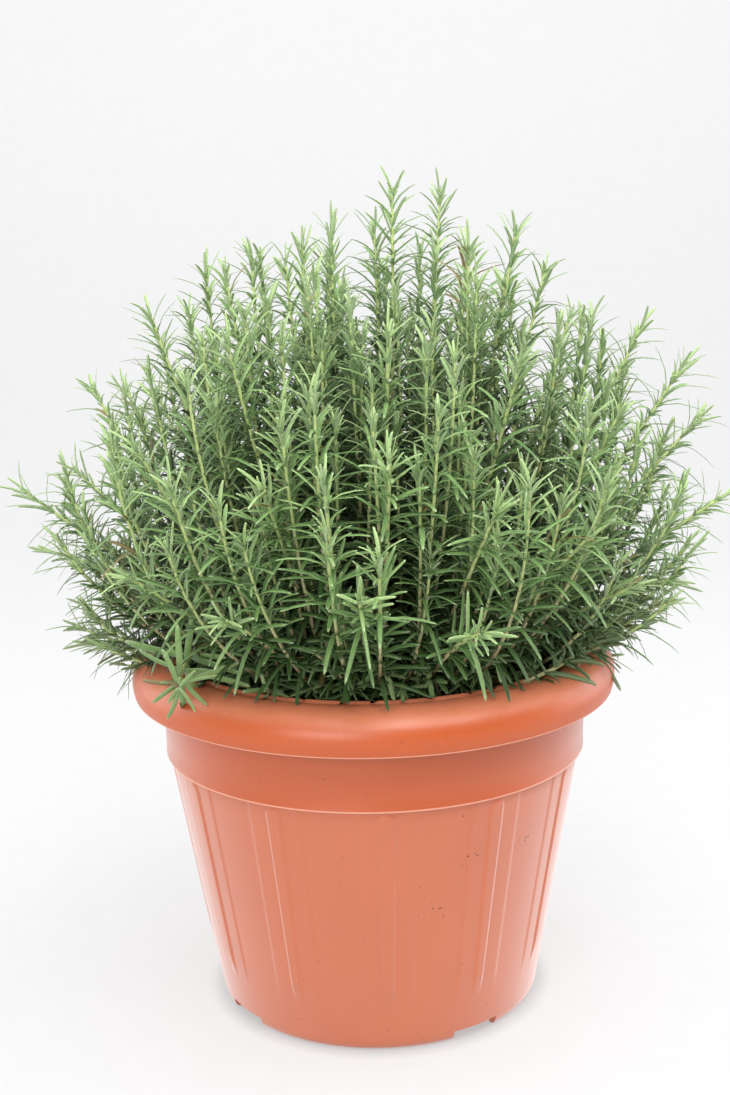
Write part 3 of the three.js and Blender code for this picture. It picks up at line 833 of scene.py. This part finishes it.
def rising_path(tip, shift):
    """Out from the soil first and then upward, as shoots do that look for light."""
    seen = np.array((tip[0], tip[1] / DEPTH_SHARE, tip[2] - DOME_Z))
    lean = np.degrees(np.arccos(seen[2] / np.linalg.norm(seen)))
    from_axis = np.hypot(tip[0], tip[1])
    outward = np.array([tip[0], tip[1], 0]) / from_axis
    base = outward * min(FOOT_R * (lean / LOW_ANGLE) ** FOOT_POWER, from_axis)
    base = base + (0, 0, FOOT_Z)
    aside = np.array([-outward[1], outward[0], 0]) * ASIDE * (chance(shift) - 0.5)
    across, up = 0.72 + 0.24 * chance(shift + 0.2), 0.28 + 0.2 * chance(shift + 0.4)
    step = (tip - base) * (across, across, up)
    return [base + aside, base + step + aside * 0.5, tip]


fillers = [new_shoot(rising_path(tip, k + 0.5)) for k, tip in enumerate(filler_tips)]

# %% [markdown]
# ## Young low shoots
# Near the soil a bush is thick with short young shoots that lean over the rim. The tall shoots have
# few leaves there, so these are grown apart, in a ring that goes round five times, each with its
# own distance, height and sideways lean.

# %% Low shoots
LOW_COUNT, LOW_ROUNDS = 210, 5
LOW_RING = (62, 58)  # each pair here is a least value and how much chance adds, in mm
LOW_OUT, LOW_RISE, LOW_ASIDE = (-4, 38), (16, 52), 64
LOW_KNEE = (0, 0, 20)


def chosen(least_and_more, n):
    return least_and_more[0] + least_and_more[1] * chance(n)


low_shoots = []
for k in range(LOW_COUNT):
    turn = 2 * pi * (k + 0.7 * chance(k + 0.2)) / LOW_COUNT * LOW_ROUNDS
    outward = np.array((sin(turn), -cos(turn), 0.0))
    foot = outward * chosen(LOW_RING, k + 0.4) + (0, 0, SOIL_Z - 2)
    tip = foot + outward * chosen(LOW_OUT, k + 0.5) + (0, 0, chosen(LOW_RISE, k + 0.8))
    side = np.array((outward[1], -outward[0], 0)) * LOW_ASIDE * (chance(k + 0.9) - 0.5)
    low_shoots.append(new_shoot([foot, foot + LOW_KNEE, tip + side]))
print(len(fillers), "more tall shoots and", len(low_shoots), "young low ones")

# %% [markdown]
# ## One needle
# A rosemary leaf is narrow and blunt with its margins rolled under: a shallow groove runs along its
# dark upper face, and the underside is pale. A flat card with a leaf's colours would be lighter,
# but it has no thickness and no groove. One needle of a few faces is enough, because each copy is
# stretched, turned and bent by itself. It is one unit long and points along X.

# %% Needle
RINGS = [(0.0, 0.45), (0.2, 0.92), (0.5, 1.0), (0.8, 0.9), (0.955, 0.6)]
SECTION = [(-1, 0.12), (0, 0.0), (1, 0.12), (0, -0.34)]
SIDES = len(SECTION)


def make_needle():
    points = [(x, y * w, z * w) for x, w in RINGS for y, z in SECTION] + [(1.0, 0.0, 0.02)]
    tip, faces, places = len(points) - 1, [], []
    for i in range(len(RINGS) - 1):
        for c in range(SIDES):
            a, b = i * SIDES + c, i * SIDES + (c + 1) % SIDES
            faces.append((a, a + SIDES, b + SIDES, b))
            u, v = (RINGS[i][0], RINGS[i + 1][0]), (c / SIDES, (c + 1) / SIDES)
            places += [(u[0], v[0]), (u[1], v[0]), (u[1], v[1]), (u[0], v[1])]
    last = (len(RINGS) - 1) * SIDES
    for c in range(SIDES):
        faces.append((last + c, tip, last + (c + 1) % SIDES))
        u, v = RINGS[-1][0], c / SIDES
        places += [(u, v), (1.0, (c + 0.5) / SIDES), (u, (c + 1) / SIDES)]
    faces.append(tuple(range(SIDES)))
    places += [(-0.06 + 0.03 * (z < 0), (y + 1) / 2) for y, z in SECTION]
    needle = mesh_piece("needle", points, faces=faces)
    note(needle, "along", [p[0] for p in points])
    note(needle, "across", [abs(y) for _ in RINGS for y, _ in SECTION] + [0.6])
    note(needle, "under", [1.0 if z < 0 else 0.0 for _ in RINGS for _, z in SECTION] + [0.3])
    return needle, np.array(places)


needle, needle_places = make_needle()
print("one needle has", len(needle.data.polygons), "faces")

# %% [markdown]
# ## Guide lines
# A shoot is a stem and its leaves, and both follow one line. The lines could be curve objects, but
# a mesh of bare edges can store any number at its vertices. Each vertex carries what the trees need
# to know: how long the leafless foot is, how wide the leaves spread, how big they are and how thick
# the stem is.

# %% Guide lines
TUFT = 13.0  # the youngest leaves reach this far past the stem's end
LEAFY_REACH = 205.0  # length below the tip that carries leaves
LEAST_BARE, LEAST_BARE_FILLER, ROSETTE_LEAFY, TWIG_BARE, LOW_BARE = 14, 16, 34, 6, 3
LOOK_KEYS = ("open", "size", "broad", "thick", "age")
LOOKS = {  # leaves: opening in degrees, size, breadth; stem: radius in mm and age, foot and tip
    "main": (0, 1.0, 1.0, (1.55, 1.0), (1.2, -0.4)),
    "rosette": (60, 1.62, 1.75, (1.55, 1.0), (0.4, -0.2)),
    "twig": (38, 1.1, 1.5, (1.55, 1.0), (0.4, -0.2)),
    "filler": (0, 0.98, 1.0, (1.4, 0.88), (1.3, -0.3)),
    "low": (0, 0.74, 1.45, (1.3, 0.9), (0.9, 0.5)),
    "trunk": (0, 1.0, 1.0, (6.0, 4.4), (1, 1)),
    "arm": (0, 1.0, 1.0, (3.8, 2.2), (1, 1)),
}
LOW_OPEN, LOW_TUFT = (14, 36), 6.0
FILLER_LEAFY = (0.85, 0.3)
MAIN_STEPS, FILLER_STEPS, LOW_STEPS = 36, 30, 18  # points on one guide line


def with_look(look, path, bare, **own):
    return {**dict(zip(LOOK_KEYS, LOOKS[look])), "path": path, "bare": bare, **own}


def guide_lines(name, shoots):
    points, edges = [], []
    numbers = {key: [] for key in ("bare", *LOOK_KEYS)}
    for shoot in shoots:
        n = len(shoot["path"])
        edges += [(len(points) + i, len(points) + i + 1) for i in range(n - 1)]
        points += list(shoot["path"] * MM)
        for key, scale in (("bare", MM), ("open", radians(1)), ("size", 1), ("broad", 1)):
            numbers[key] += [shoot[key] * scale] * n
        numbers["thick"] += list(np.linspace(*shoot["thick"], n) * MM)
        numbers["age"] += list(np.clip(np.linspace(*shoot["age"], n), 0, 1))
    lines = mesh_piece(name, points, edges=edges)
    for key, values in numbers.items():
        note(lines, key, values)
    return lines


families, low_families = [[] for _ in crowns], [[] for _ in crowns]
for i, main in enumerate(mains):
    end = main["length"] - TUFT
    stem = end - main["reach"]
    look, bare = "main", max(LEAST_BARE, stem - LEAFY_REACH)
    if i == len(mains) - 2:
        look, bare = "rosette", stem - ROSETTE_LEAFY
    elif i == len(mains) - 1:
        look, bare = "twig", TWIG_BARE
    path = cut_path(main["whole"], main["reach"] - 1, end, MAIN_STEPS)
    families[main["crown"]].append(with_look(look, path, bare))
for k, filler in enumerate(fillers):
    end = filler["length"] - TUFT
    bare = max(LEAST_BARE_FILLER, end - LEAFY_REACH * chosen(FILLER_LEAFY, k + 0.7))
    path = cut_path(filler["whole"], 0, end, FILLER_STEPS)
    families[filler["crown"]].append(with_look("filler", path, bare))
for k, low in enumerate(low_shoots):
    path = cut_path(low["whole"], 0, low["length"] - LOW_TUFT, LOW_STEPS)
    opening = chosen(LOW_OPEN, k + 0.15)
    low_families[low["crown"]].append(with_look("low", path, LOW_BARE, open=opening))
print("tall shoots at each crown:", [len(family) for family in families])
print("low shoots at each crown:", [len(family) for family in low_families])

# %% [markdown]
# ## Leaves along a shoot
# Rosemary sets its leaves in opposite pairs, each a quarter turn on from the one below: young ones
# close and nearly upright at the tip, old ones longer, further apart, leaning out and arching over.
# Points scattered on the stem would lose that order, so the tree steps along each line instead. It
# has three parts. The first finds each pair's place on its shoot, how young or old it is, and how
# much painted shade it gets near the soil and deep inside the bush.

# %% Leaf places
LEAF_SIZES = {"Spacing": 7.4 * MM, "Leaf length": 29 * MM, "Half width": 1.4 * MM, "Crowding": 1.3}
GROWN_AT = 32 * MM  # distance below the tip at which the leaves are full grown
OLD_FROM, OLD_SOFT = 90 * MM, 90 * MM
AGE_FROM, AGE_SOFT = 30 * MM, 110 * MM
LOW_Z, LOW_SOFT = 320 * MM, 60 * MM
DOME_LEAST, DOME_MORE = 205 * MM, 115 * MM  # the dome's radius at the soil, how much more on top
INNER_SHARE, INNER_SOFT = 0.8, 60 * MM


def stored(geometry, name, value, kind="FLOAT"):
    """Stores a number or a vector for each point, under a name."""
    return shape(geometry.tree, "StoreNamedAttribute", data_type=kind, domain="POINT",
                 Geometry=geometry, Name=name, Value=value)


def leaf_places(tree, given):
    """Points where leaf pairs grow, and what each place knows about itself."""
    lines = shape(tree, "MeshToCurve", Mesh=given["Geometry"])
    whole = shape(tree, "SplineLength")
    pairs = shape(tree, "ResampleCurve", mode="COUNT", Curve=lines, Count=whole / given["Spacing"])
    # the pairs are drawn together towards the tip
    parameter = put(tree, "GeometryNodeSplineParameter")
    crowded = 1.0 - (1.0 - out(parameter)) ** given["Crowding"]
    line = shape(tree, "CurveOfPoint")
    on_line = put(tree, "GeometryNodeSampleCurve", Curves=lines, Factor=crowded, Curve_Index=line)
    points = shape(tree, "SetPosition", Geometry=pairs, Position=out(on_line, "Position"))

    from_foot = out(parameter, "Length")
    from_tip = whole - from_foot
    grown = clamp(from_tip / GROWN_AT)
    plain = clamp(2.0 - named(tree, "broad"))  # 1 on plain shoots, less on broad-leaved ones
    youth = (1.0 - grown) * calculate("MAXIMUM", plain, 0.4)
    # older leaves are darker; painted shade darkens those near the soil and deep inside the dome
    x, y, z = parts_of(shape(tree, "InputPosition"))
    rise = z - DOME_Z * MM
    from_centre = calculate("LENGTH", vector_of(x, y / DEPTH_SHARE, rise))
    dome_here = DOME_LEAST + rise / from_centre * DOME_MORE
    low = smooth((LOW_Z - z) / LOW_SOFT)
    inner_shade = smooth((dome_here * INNER_SHARE - from_centre) / INNER_SOFT)
    age = clamp((from_tip - AGE_FROM) / AGE_SOFT + low * 0.4 + inner_shade * 0.7)
    return {
        "points": stored(points, "youth", youth),
        "tangent": shape(tree, "InputTangent"),
        "normal": shape(tree, "InputNormal"),
        "index": out(parameter, "Index"),
        "from_foot": from_foot,
        "grown": grown,
        "old": clamp((from_tip - OLD_FROM) / OLD_SOFT),
        "plain": plain,
        "age": age * between(0.3, 1.0, plain),
        "shoot_tone": random(tree, Min=0.0, Max=1.0, ID=line, Seed=given["Seed"]),
    }


print("leaf pairs stand", round(LEAF_SIZES["Spacing"] / MM, 1), "mm apart")

# %% [markdown]
# ## One needle at each place
# No two leaves of a shoot are alike, and equal copies would show at once. The second part sets a
# copy of the needle on one side of each place. It leans out by its age and takes its length, width,
# bend and tone from the seed. Four more sets with fewer, shorter needles are the young leaves in
# the leaf axils.

# %% Leaf sides
LEAF_SIDES = [  # turn round the stem, share of the full length, share of places that have one
    (0.0, 1.0, 0.97), (180.0, 1.0, 0.97),
    (24.0, 0.55, 0.6), (-30.0, 0.45, 0.45), (204.0, 0.55, 0.6), (150.0, 0.45, 0.45),
]
ANGLE_YOUNG, ANGLE_GROWN, ANGLE_OLD = radians(15), radians(37), radians(26)
AXIL_LEAN, AXIL_WIDTH = 0.6, 0.78


def leaf_side(tree, given, place, side):
    """Copies of the needle on one side of every place."""
    turn, share, kept = LEAF_SIDES[side]
    tangent, grown, old, plain = (place[key] for key in ("tangent", "grown", "old", "plain"))
    opening = named(tree, "open")

    def luck(low, high, shift):
        return random(tree, Min=low, Max=high, Seed=given["Seed"] + float(shift + side))

    roll = place["index"] * (pi / 2) + radians(turn) + luck(-0.25, 0.25, 1)
    rotated = put(tree, "ShaderNodeVectorRotate", Vector=place["normal"], Axis=tangent, Angle=roll)
    outward = out(rotated)
    leaning = between(ANGLE_YOUNG, ANGLE_GROWN, grown ** 0.75) + ANGLE_OLD * old
    if share < 1:
        leaning = leaning * AXIL_LEAN
    leaning = leaning + luck(-0.24, 0.3, 11) * (1.0 + old) + opening * (1.2 - grown * 0.5)
    ahead, aside = calculate("COSINE", leaning), calculate("SINE", leaning)
    along = tangent * ahead + outward * aside
    upper = tangent * aside - outward * ahead

    full = given["Leaf length"] * named(tree, "size") * between(0.72, 1.0, grown ** 0.6)
    long = full * luck(0.82, 1.14, 21) * share * (1.0 - old * 0.26)
    wide = given["Half width"] * between(0.75, 1.0, grown) * luck(0.8, 1.15, 31)
    wide = wide * named(tree, "broad") * (1.0 + old * 0.2)
    if share < 1:
        wide = wide * AXIL_WIDTH

    points = stored(place["points"], "away", -upper, "FLOAT_VECTOR")
    for name, value in {
        "long": long,
        "bend": luck(0.06, 0.86, 41) * between(0.4, 1.0, grown),
        "sway": luck(-0.22, 0.22, 51),
        "droop": luck(0.0, 0.2, 81) + old * 0.16 + opening * plain * 0.3,
        "tone": luck(0.0, 1.0, 61) * 0.6 + place["shoot_tone"] * 0.4,
        # age, with the painted shade near the soil and inside the bush
        "age": place["age"],
    }.items():
        points = stored(points, name, value)

    spin = put(tree, "FunctionNodeAxesToRotation", primary_axis="X", secondary_axis="Z",
               Primary_Axis=along, Secondary_Axis=upper)
    info = put(tree, "GeometryNodeObjectInfo", transform_space="ORIGINAL", Object=given["Needle"])
    there = (luck(0.0, 1.0, 71) < kept) * (place["from_foot"] > named(tree, "bare"))
    return shape(tree, "InstanceOnPoints", Points=points, Selection=there,
                 Instance=out(info, "Geometry"), Rotation=out(spin),
                 Scale=vector_of(long, wide, wide))


print(len(LEAF_SIDES), "needles at most at each place")

# %% [markdown]
# ## Bending, and keeping clear
# Leaves arch over, and rest on what is under them. To simulate that for so many would take far too
# long, and a simple rule looks the same. The third part bends each needle, more and more towards
# its end. Whatever would dip into the soil or the pot's rim is lifted onto it.

# %% Leaf nodes
SOIL_LIMIT, RIM_LIMIT, RIM_IN, RIM_OUT = 239.5 * MM, 253.4 * MM, 134.5 * MM, 170.5 * MM
RIM_ROUND_FROM, RIM_ROUND_WIDE, RIM_ROUND_DROP = 150 * MM, 18.4 * MM, 20 * MM


def leaf_tree():
    tree, given = new_tree("leaves along a shoot", LEAF_SIZES, Needle="Object", Seed="Int")
    place = leaf_places(tree, given)
    all_sides = put(tree, "GeometryNodeJoinGeometry")
    for side in range(len(LEAF_SIDES)):
        fill(all_sides, Geometry=leaf_side(tree, given, place, side))
    leaves = shape(tree, "RealizeInstances", Geometry=out(all_sides))

    reach, away = named(tree, "along"), named(tree, "away", "FLOAT_VECTOR")
    curve = reach * reach * named(tree, "long")
    sideways = calculate("CROSS_PRODUCT", away, (0.0, 0.0, 1.0))
    offset = away * (curve * named(tree, "bend")) + sideways * (curve * named(tree, "sway"))
    offset = offset - vector_of(0.0, 0.0, curve * named(tree, "droop"))
    leaves = shape(tree, "SetPosition", Geometry=leaves, Offset=offset)

    x, y, z = parts_of(shape(tree, "InputPosition"))
    radius = distance(x, y)
    drop = calculate("MAXIMUM", radius - RIM_ROUND_FROM, 0.0) / RIM_ROUND_WIDE
    rim = RIM_LIMIT - drop * drop * RIM_ROUND_DROP
    ground = between(SOIL_LIMIT, rim, radius > RIM_IN) * (radius < RIM_OUT)
    clear = vector_of(x, y, calculate("MAXIMUM", z, ground))
    leaves = shape(tree, "SetPosition", Geometry=leaves, Position=clear)
    return close_tree(tree, shape(tree, "SetShadeSmooth", Geometry=leaves), given["Material"])


leaves_along = leaf_tree()

# %% [markdown]
# ## Stems
# Young stems are thin and a little uneven, old ones are woody, thick and rough. A curve's bevel
# could make both. Here the tree sweeps a small circle along the guide line, because it can then
# roughen the skin with noise too. The woody stems only need more sides and bigger lumps.

# %% Stem nodes
STEM_SIZES = {"Sides": 6, "Lumps": 0.25 * MM, "Lump size": 300.0}
WOOD_SIZES = {"Sides": 9, "Lumps": 1.4 * MM, "Lump size": 260.0}


def stem_tree():
    tree, given = new_tree("stem along a line", STEM_SIZES)
    line = shape(tree, "MeshToCurve", Mesh=given["Geometry"])
    ring = shape(tree, "CurvePrimitiveCircle", Resolution=given["Sides"], Radius=1.0)
    tube = shape(tree, "CurveToMesh", Curve=line, Profile_Curve=ring, Scale=named(tree, "thick"),
                 Fill_Caps=True)
    lump = noise_at(shape(tree, "InputPosition"), given["Lump size"], 3.0) - 0.5
    offset = shape(tree, "InputNormal") * (lump * given["Lumps"])
    rough = shape(tree, "SetPosition", Geometry=tube, Offset=offset)
    return close_tree(tree, shape(tree, "SetShadeSmooth", Geometry=rough), given["Material"])


stem_along = stem_tree()

# %% [markdown]
# ## Leaf, stem and bark finishes
# The upper face is a deep green, yellow-green in young leaves, with a paler foot and tip, painted
# highlights along its margins and painted shade in its middle groove. The underside is grey-green
# felt, old leaves are darker, painted shade darkens leaves near the soil and inside the bush, and a
# few are dry. A material for each kind of leaf would leave steps between them, so one material
# reads the numbers stored on the needles. Stems are pale green-tan and turn brown towards the wood.

# %% Plant materials
DARK, FRESH, YOUNG = (58, 101, 42), (138, 173, 102), (172, 196, 134)
MARGIN, UNDERSIDE, DRY, OLD_AND_SHADED = (196, 214, 168), (172, 188, 156), (136, 110, 70), (22, 54, 4)
DRY_TONE = 0.94
leaf_green, tree, shader = new_material("rosemary_needle", 0.44, Specular_IOR_Level=0.38)
stored_names = ("tone", "youth", "across", "under", "along", "age")
tone, youth, across, under, along, age = (own_number(tree, name) for name in stored_names)
patchy = noise_at(object_place(tree), 140.0, 2.0)
felt = noise_at(object_place(tree), 1500.0, 1.0)
green = layered(DARK, (FRESH, clamp(tone * 0.75 + patchy * 0.5 - 0.12)), (YOUNG, youth * 0.7))
# painted shade in the groove down the middle of the upper face
green = scaled(green, 1.06 - smooth((0.5 - across) / 0.5) * 0.22)
green = layered(
    green,
    # painted highlight along the rolled margins
    (MARGIN, smooth((across - 0.55) / 0.5) * 0.55),
    (MARGIN, smooth((along - 0.86) / 0.14) * 0.5),
    (MARGIN, smooth((0.22 - along) / 0.22) * 0.4),
    (UNDERSIDE, under * 0.8),
    (DRY, (tone > DRY_TONE) * 0.85),
)
green = scaled(green, 0.86 + felt * 0.44)
# old leaves, and painted shade near the soil and inside the bush, turn a deep dark green
fill(shader, Base_Color=layered(green, (OLD_AND_SHADED, age * 0.78)))

shoot_skin, tree, shader = new_material("young_stem", 0.6, Specular_IOR_Level=0.35)
age = own_number(tree, "age")
flecks = noise_at(object_place(tree), 500.0, 3.0)
tan, brown = ((190, 184, 136), smooth(age * 2.0)), ((104, 88, 58), smooth((age - 0.5) * 2.5))
skin = layered((186, 200, 134), tan, brown)
fill(shader, Base_Color=scaled(skin, 0.8 + flecks * 0.4))
raise_bump(shader, flecks, 0.0003)

bark, tree, shader = new_material("rosemary_bark", 0.9)
streaks = noise_at(object_place(tree), 320.0, 5.0)
fill(shader, Base_Color=layered((88, 68, 48), ((150, 126, 92), streaks)))
raise_bump(shader, streaks, 0.0012)
print("three plant finishes made")

# %% [markdown]
# ## Growing the bush
# The bush could be one mesh, but it would be too heavy to handle, and a mesh for each shoot would
# make hundreds. Each of the eight crowns gets one piece of needles, one of stems and one of wood,
# and a piece of the low shoots' needles if it has any. They stand for the frame's plain shoots of
# that crown. Every needle gets its own small place on a map, so that a baked picture of the colours
# stays sharp.

# %% Grow
TRUNK_DEEP, ARM_FOOT, ARM_RISE, ARM_MEET = 13, 4, 12, 14  # mm
WOOD_STEPS = 14
MAP_EDGE = 0.08
FIRST_SEED, SEED_STEP = 11, 7


def map_needles(piece):
    """Gives each needle a square of its own on the map."""
    leaves = len(piece.data.loops) // len(needle_places)
    side = int(np.ceil(np.sqrt(leaves)))
    cell = np.arange(leaves)
    corner = np.stack([cell % side, cell // side], axis=1)[:, None, :]
    share = MAP_EDGE + needle_places * (1 - 2 * MAP_EDGE)
    places = (corner + share[None]) / side
    layer = piece.data.uv_layers.new(name="OFBake")
    layer.data.foreach_set("uv", places.reshape(-1).astype(np.float32))
    return leaves


def woody_limbs(crown, own_mains):
    """The guide lines of one trunk and of its arms, each up to the foot of a main shoot."""
    fork = crown + (0, 0, TRUNK_RISE)
    root = fork - (0, 0, ARM_FOOT)
    trunk = np.array([crown - (0, 0, TRUNK_DEEP), root, fork + (0, 0, 1)])
    limbs = [with_look("trunk", cut_path(trunk, 0, None, WOOD_STEPS), 0)]
    for main in own_mains:
        joint = cut_path(main["whole"], main["reach"], main["reach"] + 4, 2)
        ahead = (joint[1] - joint[0]) / np.linalg.norm(joint[1] - joint[0])
        bends = [root, root + (0, 0, ARM_RISE), joint[0] - ahead * ARM_MEET, joint[0]]
        limbs.append(with_look("arm", bezier(bends, WOOD_STEPS), 0))
    return limbs


needle_total = 0
for k, family in enumerate(families):
    label = str(k + 1)
    own = [i for i, main in enumerate(mains) if main["crown"] == k]
    nodes = ["leafy_shoot_%02d" % (i + 1) for i in own]
    seed = FIRST_SEED + SEED_STEP * k
    grown_leaves = {**LEAF_SIZES, "Needle": needle, "Seed": seed, "Material": leaf_green}
    for name, shoots in (("needles_", family), ("low_needles_", low_families[k])):
        if shoots:
            needles = guide_lines(name + label, shoots)
            settle(needles, leaves_along, grown_leaves)
            needle_total += map_needles(needles)
            wear(needles, "leafy_shoots", *nodes)
    stems = guide_lines("stems_" + label, family + low_families[k])
    settle(stems, stem_along, {**STEM_SIZES, "Material": shoot_skin})
    wear(stems, "leafy_shoots", *nodes)
    wood = guide_lines("wood_" + label, woody_limbs(crowns[k], [mains[i] for i in own]))
    settle(wood, stem_along, {**WOOD_SIZES, "Material": bark})
    wear(wood, "woody_stems", "woody_stem_" + label)
bpy.data.objects.remove(needle)
print(needle_total, "needles")
